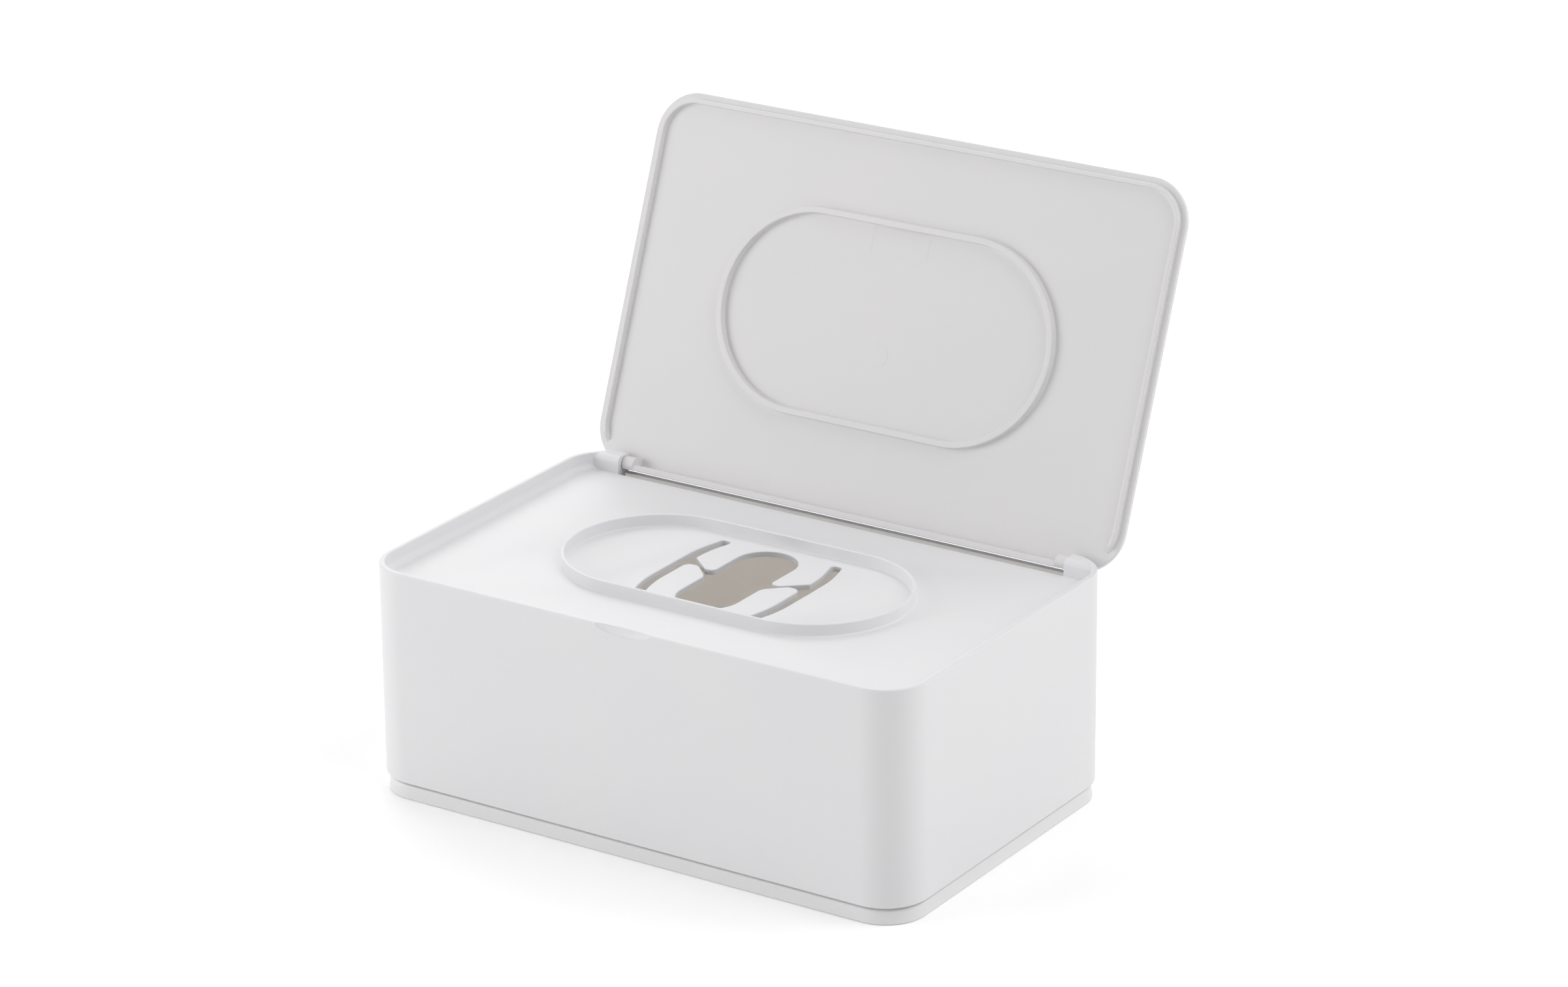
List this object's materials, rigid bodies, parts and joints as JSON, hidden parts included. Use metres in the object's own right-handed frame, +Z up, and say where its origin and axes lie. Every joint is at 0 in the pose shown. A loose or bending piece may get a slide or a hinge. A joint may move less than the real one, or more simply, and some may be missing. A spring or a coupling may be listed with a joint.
{
  "type": "wet wipes box",
  "caption": "Low rectangular plastic wipes box with rounded corners, a sunk deck with a collared dispensing opening, and a flat lid that hinges open along its back.",
  "frame": {"origin": "middle of the bottom tray's flat underside, on the table the box stands on", "axes": "+Z up, +X along the box's long side to the right as seen from the front, -Y towards the front with the thumb scoop, +Y towards the hinge"},
  "size_m": [0.19, 0.1665, 0.179],
  "materials": {
    "body_shell": "satin",
    "lid": "satin",
    "bottom_tray": "satin",
    "hinge_pins": "plain"
  },
  "bodies": {
    "tray": {"bottom_tray": "bottom_tray"},
    "shell": {"body_shell": "body_shell", "hinge_pin_left": "hinge_pins", "hinge_pin_right": "hinge_pins"},
    "lid": {"lid": "lid"}
  },
  "joints": [
    {"name": "shell_lift", "type": "slide", "parent": "tray", "child": "shell", "axis": [0, 0, 1], "range_m": [0, 0.07]},
    {"name": "lid_hinge", "type": "hinge", "parent": "shell", "child": "lid", "pos_m": [0, 0.0581, 0.07057], "axis": [1, 0, 0], "range_deg": [0, 111.7]}
  ]
}
